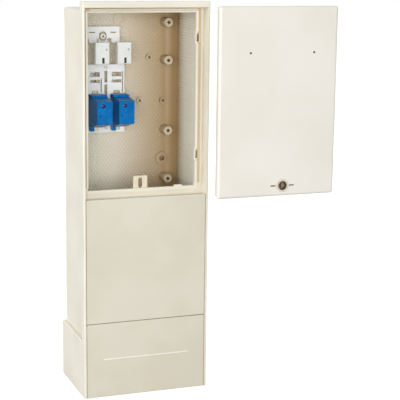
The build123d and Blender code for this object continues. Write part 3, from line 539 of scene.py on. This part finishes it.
def carrierLens(side, poleAcross):
    widest = math.radians(lens["lean"])
    middle = (poleAcross + lens["across"], lens["up"])
    points, faces = [], []
    for ring in range(lens["rings"] + 1):
        lean = widest * ring / lens["rings"]
        reach = lens["radius"] * math.sin(lean) / math.sin(widest)
        sink = lens["radius"] * (1 - math.cos(lean)) * lens["flatness"]
        points += ringPoints(middle, reach, lens["front"] + sink, lens["sides"])
    for ring in range(lens["rings"]):
        faces += ringFaces(ring * lens["sides"], lens["sides"])
    newPiece("lens_" + side, points, faces, "carrier", "carrier_" + side, True, "lens")


for side, poleAcross in poles.items():
    thumbRidges(side, poleAcross)
    carrierLens(side, poleAcross)
print("carrier trim made")


def boxPiece(name, boxes, slot, body, width, openFront=False):
    # boxes given by two corners, with small bevels
    points, faces = [], []
    for low, high in boxes:
        first = len(points)
        points += [(x, y, z) for x in (low[0], high[0]) for y in (low[1], high[1]) for z in (low[2], high[2])]
        sides = [(0, 1, 3, 2), (4, 6, 7, 5), (2, 3, 7, 6), (0, 2, 6, 4), (1, 5, 7, 3)]
        if not openFront:
            sides.append((0, 4, 5, 1))
        faces += [tuple(first + k for k in side) for side in sides]
    piece = newPiece(name, points, faces, slot, body)
    if width:
        bevel = piece.modifiers.new("bevel", "BEVEL")
        bevel.width = width
        bevel.segments = 2


# wide rounding in the tub's two back corners
backCorners = {"across": 0.1126, "back": 0.0831, "radius": 0.022, "low": 0.300, "high": 0.7405, "steps": 10}


def cornerRound(name, corner):
    points, faces = [], []
    for side in (-1, 1):
        first = len(points)
        for k in range(corner["steps"] + 1):
            turn = 0.5 * math.pi * k / corner["steps"]
            across = side * (corner["across"] - corner["radius"] * (1 - math.sin(turn)))
            depth = corner["back"] - corner["radius"] * (1 - math.cos(turn))
            points += [(across, depth, corner["low"]), (across, depth, corner["high"])]
        for k in range(corner["steps"]):
            a = first + 2 * k
            quad = (a, a + 2, a + 3, a + 1)
            faces.append(quad if side > 0 else tuple(reversed(quad)))
    newPiece(name, points, faces, "casing", "pillar", True)


# the tall lip stands on the low one, with gaps at the hinge sockets, and starts above the lifted cable panel
openingLip = {
    "front": -0.0745, "back": -0.0694, "right": (0.1015, 0.1060), "left": (-0.116, -0.112),
    "top": (0.741, 0.744), "start": 0.412, "sockets": (0.468, 0.693), "gap": 0.012, "bevel": 0.0005,
}


def tallLip(name, lip):
    front, back, start, top = lip["front"], lip["back"], lip["start"], lip["top"]
    left, right = lip["left"], lip["right"]
    ends = [start] + [up + step for up in lip["sockets"] for step in (-lip["gap"], lip["gap"])] + [top[1]]
    boxes = [((right[0], front, low), (right[1], back, high)) for low, high in zip(ends[::2], ends[1::2])]
    boxes.append(((left[0], front, start), (left[1], back, top[1])))
    boxes.append(((left[1], front, top[0]), (right[0], back, top[1])))
    boxPiece(name, boxes, "casing", "pillar", lip["bevel"])


# closed pockets behind the hinge sockets
socketPockets = {"across": (0.1032, 0.1125), "front": -0.0636, "back": -0.0555, "half": 0.0115}


def hingePockets(name, pocket):
    near, far = pocket["across"]
    boxes = [((near, pocket["front"], up - pocket["half"]), (far, pocket["back"], up + pocket["half"]))
             for up in openingLip["sockets"]]
    boxPiece(name, boxes, "casing", "pillar", 0, True)


# the raised back part on top of each fuse carrier
carrierBack = {"half": 0.0155, "front": 0.0205, "back": 0.0446, "low": 0.570, "high": 0.5775, "bevel": 0.0008}


def carrierBlock(side, poleAcross):
    low = (poleAcross - carrierBack["half"], carrierBack["front"], carrierBack["low"])
    high = (poleAcross + carrierBack["half"], carrierBack["back"], carrierBack["high"])
    boxPiece("step_" + side, [(low, high)], "carrier", "carrier_" + side, carrierBack["bevel"])


cornerRound("backCorners", backCorners)
tallLip("openingLip", openingLip)
hingePockets("hingePockets", socketPockets)
for side, poleAcross in poles.items():
    carrierBlock(side, poleAcross)
print("lip, pockets and carrier steps made")


# shaded mouths of the screw holes in the bosses and pads: radii from outside in
holeMouths = {"bosses": {"radii": (0.0034, 0.0022), "front": 0.0529},
              "pads": {"radii": (0.0029, 0.0018), "front": 0.0759}, "sides": 20}


def holeRings(name, group):
    mouth, count = holeMouths[group], holeMouths["sides"]
    points, faces = [], []
    for spot in backWall[group]["spots"]:
        faces += ringFaces(len(points), count)
        for radius in mouth["radii"]:
            points += ringPoints(spot, radius, mouth["front"], count)
    newPiece(name, points, faces, "casing", "pillar", False, "mouth")


# painted shade: dark discs at the bottoms of the two pin holes in the door
doorPins = {"spots": ((0.1625, 0.6725), (0.2905, 0.6725)), "radius": 0.0021, "front": -0.19805, "sides": 16}


def pinHoles(name):
    points, faces = [], []
    for spot in doorPins["spots"]:
        faces.append(tuple(range(len(points), len(points) + doorPins["sides"])))
        points += ringPoints(spot, doorPins["radius"], doorPins["front"], doorPins["sides"])
    newPiece(name, points, faces, "door", "door", False, "pinHole")


# painted shade: dark sheets in the slits beside the lock, and inside each terminal's window
lockSlits = {"spots": ((0.213, 0.4225), (0.251, 0.4225)), "size": (0.0092, 0.0023), "front": -0.1977}
terminalWindows = {"aside": 0.0018, "up": 0.646, "size": (0.0047, 0.0107), "front": 0.0026}
terminalWindows["spots"] = [(poleAcross + terminalWindows["aside"], terminalWindows["up"])
                            for poleAcross in poles.values()]


def flatSheets(name, sheet, slot, body, finish):
    # small upright sheets, one at each spot
    points, faces = [], []
    halfWidth, halfHeight = sheet["size"][0] / 2, sheet["size"][1] / 2
    for across, up in sheet["spots"]:
        first = len(points)
        for x, z in ((-1, -1), (1, -1), (1, 1), (-1, 1)):
            points.append((across + x * halfWidth, sheet["front"], up + z * halfHeight))
        faces.append((first, first + 1, first + 2, first + 3))
    newPiece(name, points, faces, slot, body, False, finish)


holeRings("bossMouths", "bosses")
holeRings("padMouths", "pads")
pinHoles("pinHoles")
flatSheets("lockSlits", lockSlits, "door", "door", "slit")
flatSheets("terminalWindows", terminalWindows, "terminal", "pillar", "window")
print("door and terminal marks made")


# the pale floor glows only where it is seen, more so far off, and its own grey keeps the shadow
floorLook = {"half": 14.0, "glow": 0.82, "haze": 0.18, "hazeFrom": (0.8, 5.0), "grey": (0.36, 0.36, 0.36, 1)}


def paleFloor(look):
    half = look["half"]
    corners = [(-half, -half, 0), (half, -half, 0), (half, half, 0), (-half, half, 0)]
    mesh = bpy.data.meshes.new("floor")
    mesh.from_pydata(corners, [], [(0, 1, 2, 3)])
    floor = bpy.data.objects.new("floor", mesh)
    scene.collection.objects.link(floor)
    finish = Finish(bpy.data.materials.new("floorPale"))
    far = finish.add("ShaderNodeVectorMath", {"operation": "LENGTH"}, {0: finish.place()}, "Value")
    pale = look["glow"] + finish.spread(far, *look["hazeFrom"]) * look["haze"]
    glow = finish.add("ShaderNodeEmission", None, {"Color": finish.mix(finish.shown() * pale, black, white)})
    matt = finish.add("ShaderNodeBsdfDiffuse", None, {"Color": look["grey"]})
    finish.finishWith(finish.add("ShaderNodeAddShader", None, {0: glow, 1: matt}))
    mesh.materials.append(finish.owner)


# the sky lights with its grey and shows white
skyLook = {"grey": (0.50, 0.50, 0.50, 1)}


def softSky(look):
    scene.world = bpy.data.worlds.new("softSky")
    finish = Finish(scene.world)
    colour = finish.mix(finish.shown(), look["grey"], white)
    finish.finishWith(finish.add("ShaderNodeBackground", None, {"Color": colour}), "ShaderNodeOutputWorld")


lamps = {
    "keyLeft": {"place": (-2.8, -0.6, 1.3), "target": (0.0, 0.0, 0.45), "size": (1.8, 1.8), "power": 40.0},
    "fillFront": {"place": (-0.95, -3.3, 0.85), "target": (0.05, 0.0, 0.5), "size": (2.2, 1.5),
                  "power": 67.0},
    "fillBack": {"place": (2.3, 2.7, 1.4), "target": (0.0, 0.0, 0.45), "size": (1.8, 1.8), "power": 48.0},
}


def hangLamp(name, lamp):
    data = bpy.data.lights.new(name, "AREA")
    data.shape = "ELLIPSE"
    data.size, data.size_y = lamp["size"]
    data.energy = lamp["power"]
    hung = bpy.data.objects.new(name, data)
    scene.collection.objects.link(hung)
    aim = Vector(lamp["target"]) - Vector(lamp["place"])
    hung.matrix_world = Matrix.Translation(lamp["place"]) @ aim.to_track_quat("-Z", "Y").to_matrix().to_4x4()


# stands where the photograph was taken from; angles in degrees
camera = {"place": (-0.7306, -2.3301, 0.8573), "lens": 113.13, "sensor": 36.0, "farthest": 100.0,
          "turn": 20.50, "tilt": 11.26, "roll": 0.69}


def setCamera():
    data = bpy.data.cameras.new("camera")
    data.lens = camera["lens"]
    data.sensor_width = camera["sensor"]
    data.clip_end = camera["farthest"]
    eye = bpy.data.objects.new("camera", data)
    scene.collection.objects.link(eye)
    turn = Matrix.Rotation(math.radians(-camera["turn"]), 4, "Z")
    tilt = Matrix.Rotation(math.radians(90 - camera["tilt"]), 4, "X")
    roll = Matrix.Rotation(math.radians(camera["roll"]), 4, "Z")
    eye.matrix_world = Matrix.Translation(camera["place"]) @ turn @ tilt @ roll
    scene.camera = eye


paleFloor(floorLook)
softSky(skyLook)
for lampName, lamp in lamps.items():
    hangLamp(lampName, lamp)
setCamera()
print("stage set")
